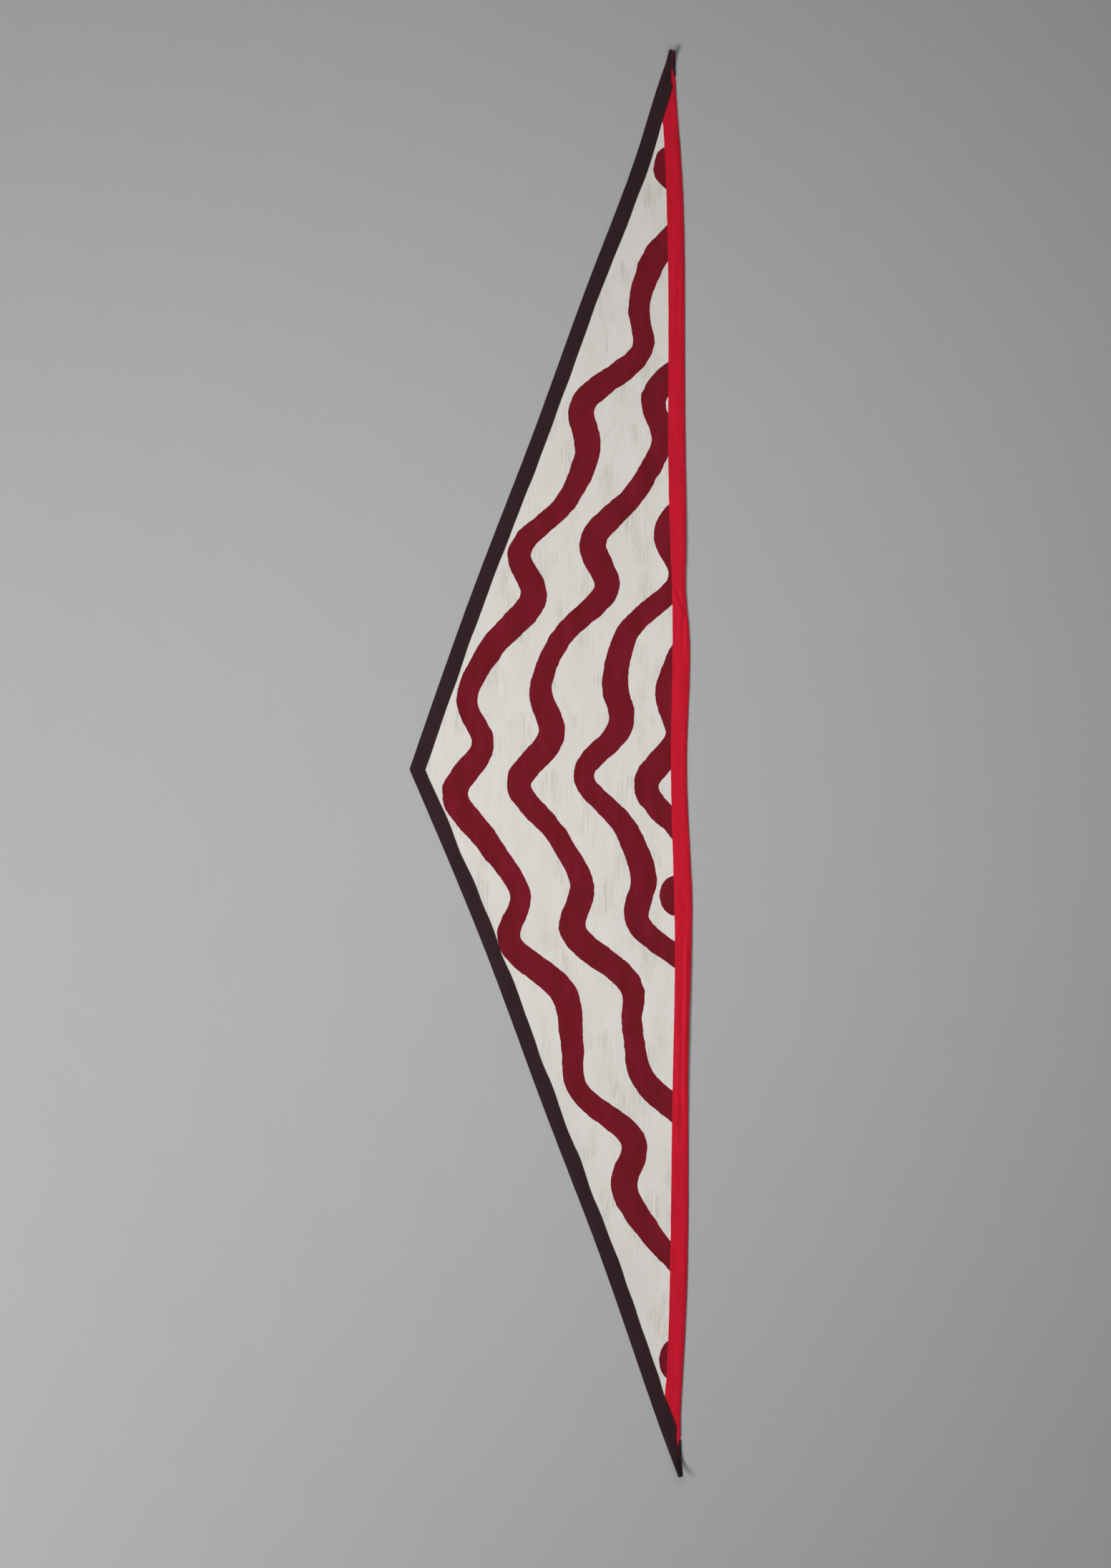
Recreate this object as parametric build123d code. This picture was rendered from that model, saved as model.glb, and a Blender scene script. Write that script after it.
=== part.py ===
"""Long triangular printed cloth with brown borders on its two short sides and a red binding on its long side.

Frame, millimetres: the cloth lies face up on a flat surface. +Y runs along the long red side, +X points
from the brown apex towards the red side, and +Z points up out of the printed face. The plan is drawn from
a point near the middle of the cloth, and at the end everything is moved so that the origin is under the
middle of the outline, on the surface.

Each plan outline is extruded upwards and kept between two levels of the laid cloth. The levels are flat
over most of the length and turn up on a large arc at each tip, so layers that touch share one surface.
"""
from build123d import *
import math
import os

os.makedirs("parts", exist_ok=True)

# ---------------------------------------------------------------- overall size
TOP_TIP, BOTTOM_TIP = 1000.0, -994.0             # along Y
FAR = 400.0                    # closing lines of a region run this far out, well past the cloth
APEX = (-197.5, -5.5)          # where the two brown borders meet

# ---------------------------------------------------------------- layers, from the surface up
CLOTH = 0.4                    # one thickness of cloth
LEAF = 2 * CLOTH               # one folded leaf of a border: the cloth and its turned hem
GROUND_LOW = LEAF
GROUND_TOP = GROUND_LOW + CLOTH
BROWN_TOP = GROUND_TOP + LEAF
RED_TOP = BROWN_TOP + CLOTH    # the red binding is softer and stands one cloth higher
DYE = 0.1                      # the printed layer on the ground cloth
THREAD_WIDTH = 0.5
THREAD_HEIGHT = 0.2

# ---------------------------------------------------------------- borders
BROWN_ACROSS = 22.2            # brown border, measured along X: 21 mm square to its slanting edge
EDGE_GAP = 5.0                 # the ground cloth stops this far inside the folded edges
GROUND_FROM, GROUND_TO = -930.0, 950.0      # its sharp points are cut off, so that the folded tips stay thin
STITCH_INSET = 2.0             # topstitching, in from the inner edge of a border or binding

# ---------------------------------------------------------------- curled tips
CURL_RADIUS = 80.0
TOP_CURL_START = 965.0
BOTTOM_CURL_START = -946.0

# ---------------------------------------------------------------- outline, from the apex outwards
UPPER_EDGE = [APEX, (-99.5, 270), (-22.5, 470), (58, 690), (125, 870), (150, 951), (167.5, TOP_TIP)]
LOWER_EDGE = [APEX, (-83.5, -280), (-9.5, -480), (67, -680), (136.5, -880), (160, -946), (178.5, BOTTOM_TIP)]
RIGHT_EDGE = [(174, TOP_TIP), (174, 962), (181.5, 850), (187, 600), (188, 440), (188.6, 290), (192, 195),
              (190, 20), (190.5, -40), (197.4, -205), (193.4, -350), (192, -560), (190, -725),
              (184.5, -840), (181, -935), (184.5, BOTTOM_TIP)]

# inner edge of each border: a smooth curve, then the corners beside the red binding's last taper, after
# which the border wraps round to the right edge
UPPER_INNER = [(x + BROWN_ACROSS, y) for x, y in UPPER_EDGE[:-2]] + [(155.5, 900)]
UPPER_INNER_END = [UPPER_INNER[-1], (169.5, 947), (167.5, 958), (168.3, 976), (173, 962), (FAR, 961)]
LOWER_INNER = [(x + BROWN_ACROSS, y) for x, y in LOWER_EDGE[:-2]]
LOWER_INNER_END = [LOWER_INNER[-1], (176, -925), (175, -937), (176.3, -953), (180, -942), (FAR, -941)]
RED_INNER = [(150, TOP_TIP), (157.5, 890), (164.5, 600), (165.3, 370), (170.3, 200), (168, -10),
             (173.3, -220), (170.3, -450), (167.8, -640), (160.4, -880), (152, BOTTOM_TIP)]

# the red binding is three lengths, joined on slanting seams: (inner end, outer end) of each seam
UPPER_JOIN = ((160, 216), (202, 204))
LOWER_JOIN = ((160, -246), (204, -202))

# ---------------------------------------------------------------- wavy print
# Plain bands of even width, one inside the other. The middle line of each leans away from a soft bend and
# waves from side to side. The bands run on under the red binding and are cut off at its inner edge.
BENDS = {                      # where each band bends, along X, and the angle at which its waves begin there
    "print_outer_band": (-122.0, 0.9),
    "print_second_band": (-27.0, 0.3),
    "print_third_band": (68.0, -0.3),
    "print_fourth_band": (150.0, 0.4),
}
BEND_Y, BEND_RADIUS, BAND_LEAN = 12.0, 60.0, 0.44
WAVES = ((20.0, 186.0), (6.0, 109.0))            # how far to each side, and how long
BAND_HALF = 16.5                                 # half its width, which swells and narrows a little
SWELL, SWELL_LENGTH = 2.0, 263.0
BAND_STEP = 14
RUN_OUT = 178.0                                  # the bands end here, under the red binding
SPOT_RIGHT = 174.0
SPOTS = [(836, 144, 34), (-182, 152, 28), (-832, 151, 30)]    # middle along Y, left end, half its length


def middle_x(y, bend_x, turn):
    """The middle line of a band."""
    lean = BAND_LEAN * (math.hypot(y - BEND_Y, BEND_RADIUS) - BEND_RADIUS)
    waves = [size * math.sin(2 * math.pi * (y - BEND_Y) / length + turn) for size, length in WAVES]
    return bend_x + lean + sum(waves)


def edge_point(y, bend_x, turn, side):
    """The point on a band's left (-1) or right (1) edge that is square across from its middle line at y."""
    slope = (middle_x(y + 1, bend_x, turn) - middle_x(y - 1, bend_x, turn)) / 2
    half = BAND_HALF + SWELL * math.sin(2 * math.pi * y / SWELL_LENGTH + 3 * turn)
    out = side * half / math.hypot(1, slope)
    return middle_x(y, bend_x, turn) + out, y - out * slope


def band_edge(bend_x, turn, side):
    """A band's edge, listed downwards, from one end under the red binding to the other."""
    ends = []
    for step in (1, -1):
        y = BEND_Y
        while edge_point(y, bend_x, turn, side)[0] < RUN_OUT:
            y += step
        ends.append(y)
    count = round((ends[0] - ends[1]) / BAND_STEP)
    rows = [ends[0] + (ends[1] - ends[0]) * i / count for i in range(count + 1)]
    return [edge_point(y, bend_x, turn, side) for y in rows]


def spot_edge(middle, left, half):
    """The rounded left edge of a printed spot, listed downwards."""
    angles = [math.radians(a) for a in range(90, -91, -15)]
    return [(SPOT_RIGHT - (SPOT_RIGHT - left) * math.cos(a), middle + half * math.sin(a)) for a in angles]


# ---------------------------------------------------------------- plan regions
def spline(points, shift=0.0):
    """A smooth curve through the points, moved along X."""
    return Spline(*[(x + shift, y) for x, y in points])


def run(points, shift=0.0):
    """Straight lines through the points, moved along X."""
    return Polyline(*[(x + shift, y) for x, y in points])


def right_of_left_edges(inset):
    """Everything to the right of the two brown outer edges, moved inwards."""
    top, bottom = UPPER_EDGE[-1], LOWER_EDGE[-1]
    closing = run([(bottom[0] + inset, bottom[1]), (FAR, bottom[1]), (FAR, top[1]), (top[0] + inset, top[1])])
    return make_face([spline(UPPER_EDGE, inset), spline(LOWER_EDGE, inset), closing])


def left_of(points, shift):
    """Everything to the left of a curve that runs the whole length."""
    (top_x, top_y), (bottom_x, bottom_y) = points[0], points[-1]
    closing = run([(bottom_x + shift, bottom_y), (-FAR, bottom_y), (-FAR, top_y), (top_x + shift, top_y)])
    return make_face([spline(points, shift), closing])


def cloth_outline(left_inset=0.0, right_inset=0.0):
    """The whole outline, with its edges moved inwards."""
    return right_of_left_edges(left_inset) & left_of(RIGHT_EDGE, -right_inset)


def beside_border(inner, inner_end, tip_y, inset=0.0):
    """Everything on the outer side of one brown border's inner edge, from the apex level to the tip."""
    closing = run([(FAR - inset, inner_end[-1][1]), (FAR, tip_y), (-FAR, tip_y), (-FAR, APEX[1]),
                   (inner[0][0] - inset, APEX[1])])
    return make_face([spline(inner, -inset), run(inner_end, -inset), closing])


def upper_side(inset=0.0):
    return beside_border(UPPER_INNER, UPPER_INNER_END, TOP_TIP, inset)


def lower_side(inset=0.0):
    return beside_border(LOWER_INNER, LOWER_INNER_END, BOTTOM_TIP, inset)


def band(bend_x, turn):
    """A printed band between its left and right edges."""
    left, right = band_edge(bend_x, turn, -1), band_edge(bend_x, turn, 1)
    return make_face([spline(left), spline(right), run([left[0], right[0]]), run([left[-1], right[-1]])])


def spot(middle, left, half):
    """A printed spot at the red binding's inner edge."""
    points = spot_edge(middle, left, half)
    return make_face([spline(points), run([points[-1], points[0]])])


def between_joins(upper, lower):
    """The stretch of the red side between two slanting seams, given as (inner end, outer end)."""
    return make_face(run([upper[0], upper[1], lower[1], lower[0], upper[0]]))


# ---------------------------------------------------------------- solids
def level(height):
    """The side view of the laid cloth at one height: flat, with an arc up at each tip."""
    def arc_point(start, sign, reach):
        rise = CURL_RADIUS - (CURL_RADIUS ** 2 - reach ** 2) ** 0.5
        return (start + sign * reach, height + rise)

    overrun = 2.0
    top_reach = TOP_TIP + overrun - TOP_CURL_START
    bottom_reach = BOTTOM_CURL_START - BOTTOM_TIP + overrun
    top = [arc_point(TOP_CURL_START, 1, top_reach * part) for part in (0, 0.5, 1)]
    bottom = [arc_point(BOTTOM_CURL_START, -1, bottom_reach * part) for part in (0, 0.5, 1)]
    return bottom, top


def between_levels(low, high):
    """The space between two heights of the laid cloth, over its whole width."""
    low_bottom, low_top = level(low)
    high_bottom, high_top = level(high)
    edges = [ThreePointArc(*low_bottom), Line(low_bottom[0], low_top[0]), ThreePointArc(*low_top),
             Line(low_top[2], high_top[2]), ThreePointArc(*high_top), Line(high_bottom[0], high_top[0]),
             ThreePointArc(*high_bottom), Line(low_bottom[2], high_bottom[2])]
    side_view = Plane.YZ * make_face(edges)
    return extrude(side_view, FAR, both=True)


def layer(plan, low, high):
    """The part of a plan region between two heights of the laid cloth."""
    headroom = 60.0
    return extrude(Pos(0, 0, -1) * plan, headroom) & between_levels(low, high)


def flat_layer(plan, low, high):
    """The same for a region that stays clear of the curled tips."""
    return extrude(Pos(0, 0, low) * plan, high - low)


outline = cloth_outline()
upper_plan = outline & upper_side()
lower_plan = outline & lower_side()
red_plan = (outline - left_of(RED_INNER, 0)) - upper_plan - lower_plan
visible_ground = outline - upper_plan - lower_plan - red_plan

trimmed = Pos(0, (GROUND_FROM + GROUND_TO) / 2) * Rectangle(2 * FAR, GROUND_TO - GROUND_FROM)
ground_cloth = layer(cloth_outline(EDGE_GAP, EDGE_GAP) & trimmed, GROUND_LOW, GROUND_TOP)


def binding(plan, top):
    """A folded strip: its full thickness, with the channel that holds the ground cloth's edge."""
    return layer(plan, 0, top) - ground_cloth


top_of_cloth = ((-FAR, TOP_TIP), (FAR, TOP_TIP))
foot_of_cloth = ((-FAR, BOTTOM_TIP), (FAR, BOTTOM_TIP))

nodes = {
    "ground_cloth": ground_cloth,
    "upper_border": binding(upper_plan, BROWN_TOP),
    "lower_border": binding(lower_plan, BROWN_TOP),
    "red_binding_upper": binding(red_plan & between_joins(top_of_cloth, UPPER_JOIN), RED_TOP),
    "red_binding_middle": binding(red_plan & between_joins(UPPER_JOIN, LOWER_JOIN), RED_TOP),
    "red_binding_lower": binding(red_plan & between_joins(LOWER_JOIN, foot_of_cloth), RED_TOP),
}

# ---------------------------------------------------------------- print
for name, bend in BENDS.items():
    nodes[name] = flat_layer(band(*bend) & visible_ground, GROUND_TOP, GROUND_TOP + DYE)
spots = [flat_layer(spot(*size) & visible_ground, GROUND_TOP, GROUND_TOP + DYE) for size in SPOTS]
nodes["print_edge_spots"] = Compound([solid for piece in spots for solid in piece.solids()])

# ---------------------------------------------------------------- threads
stitched = cloth_outline(EDGE_GAP, EDGE_GAP)
outer_side = STITCH_INSET + THREAD_WIDTH
upper_thread = (upper_side(STITCH_INSET) - upper_side(outer_side)) & stitched
lower_thread = (lower_side(STITCH_INSET) - lower_side(outer_side)) & stitched
red_thread = (left_of(RED_INNER, outer_side) - left_of(RED_INNER, STITCH_INSET)) & stitched
red_thread = red_thread - upper_plan - lower_plan
nodes["upper_border_stitching"] = layer(upper_thread, BROWN_TOP, BROWN_TOP + THREAD_HEIGHT)
nodes["lower_border_stitching"] = layer(lower_thread, BROWN_TOP, BROWN_TOP + THREAD_HEIGHT)
nodes["red_binding_stitching"] = layer(red_thread, RED_TOP, RED_TOP + THREAD_HEIGHT)

MITRE_STITCH = (-193.0, -180.0)          # from and to, along X, on the seam between the brown borders
mitre_length = MITRE_STITCH[1] - MITRE_STITCH[0]
mitre_plan = Pos(sum(MITRE_STITCH) / 2, APEX[1]) * Rectangle(mitre_length, THREAD_WIDTH)
nodes["apex_mitre_stitching"] = flat_layer(mitre_plan, BROWN_TOP, BROWN_TOP + THREAD_HEIGHT)


def seam_thread(join):
    """The thread of one slanting seam, clear of the topstitching and of the folded edge."""
    (x0, y0), (x1, y1) = join
    strip = make_face(run([(x0, y0), (x1, y1), (x1, y1 + THREAD_WIDTH), (x0, y0 + THREAD_WIDTH), (x0, y0)]))
    room = cloth_outline(0, EDGE_GAP) - left_of(RED_INNER, STITCH_INSET + 2 * THREAD_WIDTH)
    return flat_layer(strip & room, RED_TOP, RED_TOP + THREAD_HEIGHT)


seam_threads = [seam_thread(join) for join in (UPPER_JOIN, LOWER_JOIN)]
nodes["red_join_stitching"] = Compound([solid for piece in seam_threads for solid in piece.solids()])

TACK_SIZE = (2.4, 1.6)
TACK_HEIGHT = 0.6
TACKS = {"top_tip_tack": (168.8, 992.5), "bottom_tip_tack": (180.5, -986)}
for name, (x, y) in TACKS.items():
    nodes[name] = layer(Pos(x, y) * Rectangle(*TACK_SIZE), BROWN_TOP, BROWN_TOP + TACK_HEIGHT)

# ---------------------------------------------------------------- centre and write
whole = Compound([solid for piece in nodes.values() for solid in piece.solids()]).bounding_box()
to_centre = Pos(-(whole.min.X + whole.max.X) / 2, -(whole.min.Y + whole.max.Y) / 2, -whole.min.Z)
for name, piece in nodes.items():
    solids = [to_centre * solid for solid in piece.solids()]
    export_step(Compound(solids) if len(solids) > 1 else solids[0], f"parts/{name}.step")

print(f"moved by {to_centre.position.X:.3f}, {to_centre.position.Y:.3f}, {to_centre.position.Z:.3f}")
print(f"size {whole.size.X:.1f} x {whole.size.Y:.1f} x {whole.size.Z:.1f} mm, {len(nodes)} nodes")
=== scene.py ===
"""The looks of a long triangular printed cloth pennant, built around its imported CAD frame.

The cloth is drawn as a plan in millimetres: +Y runs along the red side, +X points from the brown apex to
the red side, and heights are above the surface that it lies on. settle() lays plan points on that surface,
with the slack and the curled tips, and metres() moves them into the frame.

Pieces: the ground cloth, the wavy print on its face and the paler print that shows on its back, two folded
brown borders, a folded red binding in three lengths, and the stitches that hold them, on both sides.
"""
import math

import bmesh
import bpy
import numpy as np
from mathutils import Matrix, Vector, kdtree, noise
from mathutils.geometry import delaunay_2d_cdt


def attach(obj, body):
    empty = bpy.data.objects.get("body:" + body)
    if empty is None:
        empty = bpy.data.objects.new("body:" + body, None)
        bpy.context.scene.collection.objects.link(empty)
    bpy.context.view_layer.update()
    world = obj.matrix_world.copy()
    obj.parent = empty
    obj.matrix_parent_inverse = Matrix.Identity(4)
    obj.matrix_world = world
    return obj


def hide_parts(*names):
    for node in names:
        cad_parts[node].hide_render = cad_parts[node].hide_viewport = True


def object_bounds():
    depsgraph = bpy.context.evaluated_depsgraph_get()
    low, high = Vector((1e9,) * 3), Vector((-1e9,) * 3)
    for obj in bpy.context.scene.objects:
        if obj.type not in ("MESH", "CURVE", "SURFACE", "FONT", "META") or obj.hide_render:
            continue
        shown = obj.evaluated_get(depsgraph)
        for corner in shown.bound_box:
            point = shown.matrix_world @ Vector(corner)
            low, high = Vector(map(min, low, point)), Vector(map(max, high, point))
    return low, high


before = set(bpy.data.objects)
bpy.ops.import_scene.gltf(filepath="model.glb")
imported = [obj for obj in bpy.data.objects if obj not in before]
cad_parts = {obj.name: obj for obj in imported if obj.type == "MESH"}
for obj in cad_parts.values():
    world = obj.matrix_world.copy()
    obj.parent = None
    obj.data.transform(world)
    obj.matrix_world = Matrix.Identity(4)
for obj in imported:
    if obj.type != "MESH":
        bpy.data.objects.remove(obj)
cad_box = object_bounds()

# ---------------- plan, in millimetres
MM = 0.001
TOP_TIP, BOTTOM_TIP = 1000.0, -994.0
PLAN_SHIFT_Y = cad_box[1].y / MM - TOP_TIP  # the frame's origin is under the middle of the outline
APEX = (-197.5, -5.5)
BROWN_ACROSS = 22.2  # a brown border, measured along X: 21 mm square to its slanting edge
SQUARE_SHARE = 0.94  # the share of a distance along X that is square to a brown border
EDGE_GAP = 5.0  # the ground cloth stops this far inside the folded edges
GROUND_FROM, GROUND_TO = -930.0, 950.0

UPPER_EDGE = [APEX, (-99.5, 270), (-22.5, 470), (58, 690), (125, 870), (150, 951), (167.5, TOP_TIP)]
LOWER_EDGE = [APEX, (-83.5, -280), (-9.5, -480), (67, -680), (136.5, -880), (160, -946), (178.5, BOTTOM_TIP)]
RIGHT_EDGE = [(174, TOP_TIP), (174, 962), (181.5, 850), (187, 600), (188, 440), (188.6, 290), (188.8, 238),
              (191.8, 207), (190, 20), (190.5, -40), (197.4, -205), (193.4, -350), (192, -560), (190, -725),
              (184.5, -840), (181, -935), (184.5, BOTTOM_TIP)]
UPPER_INNER = [(x + BROWN_ACROSS, y) for x, y in UPPER_EDGE[:-2]] + [(155.5, 900)]
UPPER_CORNERS = [UPPER_INNER[-1], (169.5, 947), (167.5, 958), (168.3, 976), (171.3, TOP_TIP)]
LOWER_INNER = [(x + BROWN_ACROSS, y) for x, y in LOWER_EDGE[:-2]]
LOWER_CORNERS = [LOWER_INNER[-1], (176, -925), (175, -937), (176.3, -953), (181.5, BOTTOM_TIP)]
RED_INNER = [(150, TOP_TIP), (157.5, 890), (164.5, 600), (165.3, 370), (170.3, 200), (168, -10),
             (173.3, -220), (170.3, -450), (167.8, -640), (160.4, -880), (152, BOTTOM_TIP)]
UPPER_WRAP = [(173.6, 961), (168.6, 976), (160, 979), (166, TOP_TIP)]  # front edge of the border's end,
LOWER_WRAP = [(180.4, -941), (176.5, -953), (170, -957), (180, BOTTOM_TIP)]  # wrapped round the right side
JOIN_X = 180.0
UPPER_JOIN_Y, LOWER_JOIN_Y = 210.3, -226.0  # the red binding's slanting joins, at JOIN_X
JOINS = ((UPPER_JOIN_Y, -0.286, 0.34), (LOWER_JOIN_Y, 1.0, 0.10))  # place, slope, depth of its dip
TUCK = 3.0  # the red binding's inner edge stays this far inside the borders' folds

# wavy print: plain bands, one inside the other. The middle line of each leans away from a soft bend and
# waves from side to side. The bands run on under the red binding.
BENDS = {  # where each band bends, along X, and the angle at which its waves begin there
    "print_outer_band": (-122.0, 0.9),
    "print_second_band": (-27.0, 0.3),
    "print_third_band": (68.0, -0.3),
    "print_fourth_band": (150.0, 0.4),
}
BEND_Y, BEND_RADIUS, BAND_LEAN = 12.0, 60.0, 0.44
WAVES = ((20.0, 186.0), (6.0, 109.0))  # how far to each side, and how long
BAND_HALF = 16.5  # half its width, which swells and narrows a little
SWELL, SWELL_LENGTH = 2.0, 263.0
BAND_STEP = 14  # spacing of the points that shape a band's edges
RUN_OUT = 178.0  # the bands end here, under the red binding
SPOT_RIGHT = 174.0  # so do the spots, here
SPOTS = [(836, 144, 34), (-182, 152, 28), (-832, 151, 30)]  # middle along Y, left end, half its length

# heights above the surface, millimetres
CLOTH = 0.38  # thickness of the border and binding cloth
PITCH = 0.40  # from the middle of one folded layer to the middle of the next
BACK = 0.32  # middle of the back leaf; the back stitches lie under it
FLOOR_GAP = 0.02  # no folded cloth comes nearer to the surface
BROWN_FRONT = 1.85  # middle of a border's front leaf
RED_FRONT = 2.15  # middle of the red binding's front leaf, between its soft edges
GROUND_THICK = 0.30
GROUND_IN_HEM = 0.93  # underside of the ground cloth inside the folded edges
FILM = 0.05  # how far the dye stands proud of the cloth
CURL_RADIUS = 80.0
TOP_CURL_START, BOTTOM_CURL_START = 965.0, -946.0
TWIST, TWIST_RISE = 0.9, 6.0  # slope across a tip that stands high up, and the height with half of it


# ---------------- curves and small formulas
EDGE_STEP = 2.0  # spacing of the points along an edge


def smooth_curve(points, step):
    """Points, step or less apart, on the natural cubic spline through the given ones."""
    p = np.array(points, float)
    t = np.concatenate([[0], np.cumsum(np.linalg.norm(np.diff(p, axis=0), axis=1))])
    h, n = np.diff(t), len(p)
    rows, right = np.zeros((n, n)), np.zeros((n, 2))
    rows[0, 0] = rows[-1, -1] = 1
    for i in range(1, n - 1):
        rows[i, i - 1:i + 2] = h[i - 1], 2 * (h[i - 1] + h[i]), h[i]
        right[i] = 6 * ((p[i + 1] - p[i]) / h[i] - (p[i] - p[i - 1]) / h[i - 1])
    m = np.linalg.solve(rows, right)
    s = np.linspace(0, t[-1], int(t[-1] / step) + 2)
    k = np.clip(np.searchsorted(t, s, side="right") - 1, 0, n - 2)
    u, v, w = (s - t[k])[:, None], (t[k + 1] - s)[:, None], h[k][:, None]
    bend = (m[k] * v ** 3 + m[k + 1] * u ** 3) / (6 * w)
    return bend + (p[k] / w - m[k] * w / 6) * v + (p[k + 1] / w - m[k + 1] * w / 6) * u


def x_along(*parts):
    """A function from y to x on an edge that is made of smooth curves end to end."""
    line = np.concatenate([smooth_curve(part, EDGE_STEP) for part in parts])
    line = line[np.argsort(line[:, 1], kind="stable")]
    return lambda y: np.interp(y, line[:, 1], line[:, 0])


def corners(points):
    """Straight parts, end to end, for x_along."""
    return [[a, b] for a, b in zip(points, points[1:])]


def step_up(value, low, high):
    """0 below low, 1 above high, and smooth between. With low above high it steps down."""
    t = np.clip((value - low) / (high - low), 0, 1)
    return t * t * (3 - 2 * t)


def bump_at(value, centre, spread):
    """A smooth bump of height 1."""
    return np.exp(-((value - centre) / spread) ** 2)


def wander(x, y, seed, across, along):
    """Smooth noise from -1 to 1, stretched to the given sizes across and along the cloth."""
    x, y = np.broadcast_arrays(np.asarray(x, float), np.asarray(y, float))
    values = [noise.noise(Vector((a / across, b / along, seed))) for a, b in zip(x.ravel(), y.ravel())]
    return np.array(values).reshape(x.shape)


left_upper, left_lower = x_along(UPPER_EDGE), x_along(LOWER_EDGE)
right_edge = x_along(RIGHT_EDGE)
inner_upper = x_along(UPPER_INNER, *corners(UPPER_CORNERS))
inner_lower = x_along(LOWER_INNER, *corners(LOWER_CORNERS))
red_inner_line = x_along(RED_INNER)


def left_edge(y):
    return np.where(y > APEX[1], left_upper(y), left_lower(y))


def brown_inner(y):
    return np.where(y > APEX[1], inner_upper(y), inner_lower(y))


def red_inner(y):
    """The red binding's inner edge, which runs on under the borders and stays inside their folds."""
    return np.maximum(red_inner_line(y), left_edge(y) + TUCK)


# ---------------- lying on the surface
SLACK_STEP = 11.0  # spacing of the simulated cloth's points
SLACK_X, SLACK_Y = -209.0, -1001.0  # its lowest corner
SLACK_NX, SLACK_NY = 39, 183
SLACK_SHARE = 0.0012  # how much longer the slack cloth is than the space that holds it
SLACK_FRAMES = 60
SLACK_HELD = 4.0  # it is held where it is nearer than this to a border or binding, or under it
SLACK_MOST = 4.0  # limit to its height
SIM_SCALE = 10.0  # the cloth is simulated ten times its size, which is more exact
LIFT = 0.2  # how far the red side's edge stands off the surface,
LIFTS = ((290, 85, 1.5), (-370, 110, 2.0), (-840, 110, 0.5))  # and more here: middle, reach, height
TOP_SKEW, BOTTOM_SKEW = (0.37, 168), (-0.20, 179)  # slope of each cut end, and its middle
SKEW_REACH = 14.0
HEM_REACH = 26.0  # the ground cloth comes down to the surface this far from a border or binding
LOWEST_GROUND = 0.12
# creases: height, seed, size across, size along
GROUND_CREASES = ((0.10, 5.0, 9.0, 130.0), (0.16, 8.0, 26.0, 260.0))


def mesh_object(name, points, faces):
    """A mesh object from points in Blender's own units."""
    mesh = bpy.data.meshes.new(name)
    mesh.from_pydata([tuple(p) for p in points], [], faces)
    obj = bpy.data.objects.new(name, mesh)
    bpy.context.scene.collection.objects.link(obj)
    return obj


def floor_square(name, half):
    return mesh_object(name, [(-half, -half, 0), (half, -half, 0), (half, half, 0), (-half, half, 0)],
                       [(0, 1, 2, 3)])


def simulate_slack():
    """Heights in mm of a slightly slack cloth, held along the borders, that comes to rest on the surface."""
    xs = SLACK_X + SLACK_STEP * np.arange(SLACK_NX)
    ys = SLACK_Y + SLACK_STEP * np.arange(SLACK_NY)
    gx, gy = np.meshgrid(xs, ys)
    inside = np.minimum(gx - brown_inner(gy), red_inner(gy) - gx)
    start = 0.8 + 0.25 * wander(gx, gy, 3.1, 45.0, 120.0)
    points = np.stack([gx, gy, start], axis=-1).reshape(-1, 3) * MM * SIM_SCALE
    faces = []
    for j in range(SLACK_NY - 1):
        for i in range(SLACK_NX - 1):
            a = j * SLACK_NX + i
            faces.append((a, a + 1, a + 1 + SLACK_NX, a + SLACK_NX))
    cloth = mesh_object("slack", points, faces)
    held = cloth.vertex_groups.new(name="held")
    held.add([int(i) for i in np.flatnonzero((inside < SLACK_HELD).ravel())], 1.0, "REPLACE")

    floor = floor_square("slack_floor", 1.5 * SIM_SCALE)
    floor.modifiers.new("Collision", "COLLISION")
    floor.collision.thickness_outer = 0.001
    floor.collision.cloth_friction = 20

    modifier = cloth.modifiers.new("Cloth", "CLOTH")
    settings = modifier.settings
    settings.quality = 8
    settings.mass = 0.3
    settings.tension_stiffness = settings.compression_stiffness = 40
    settings.shear_stiffness = 20
    settings.bending_stiffness = 0.8
    settings.air_damping = 2.0
    settings.vertex_group_mass = "held"
    settings.shrink_min = settings.shrink_max = -SLACK_SHARE
    modifier.collision_settings.distance_min = 0.001
    scene = bpy.context.scene
    for timed in (modifier.point_cache, scene):
        timed.frame_start, timed.frame_end = 1, SLACK_FRAMES
    for number in range(1, SLACK_FRAMES + 1):
        scene.frame_set(number)
    laid = cloth.evaluated_get(bpy.context.evaluated_depsgraph_get()).to_mesh()
    heights = np.zeros(len(laid.vertices) * 3, np.float32)
    laid.vertices.foreach_get("co", heights)
    heights = heights.reshape(-1, 3)[:, 2].reshape(SLACK_NY, SLACK_NX) / (MM * SIM_SCALE)
    scene.frame_set(1)
    for obj in (cloth, floor):
        bpy.data.objects.remove(obj)
    return np.clip(heights, 0.0, SLACK_MOST)


def softened(field, times):
    """The field with its sharpest steps smoothed out."""
    for _ in range(times):
        padded = np.pad(field, 1, mode="edge")
        field = (padded[:-2, 1:-1] + padded[2:, 1:-1] + padded[1:-1, :-2] + padded[1:-1, 2:]
                 + 4 * padded[1:-1, 1:-1]) / 8
    return field


slack_field = softened(simulate_slack(), 2)


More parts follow.
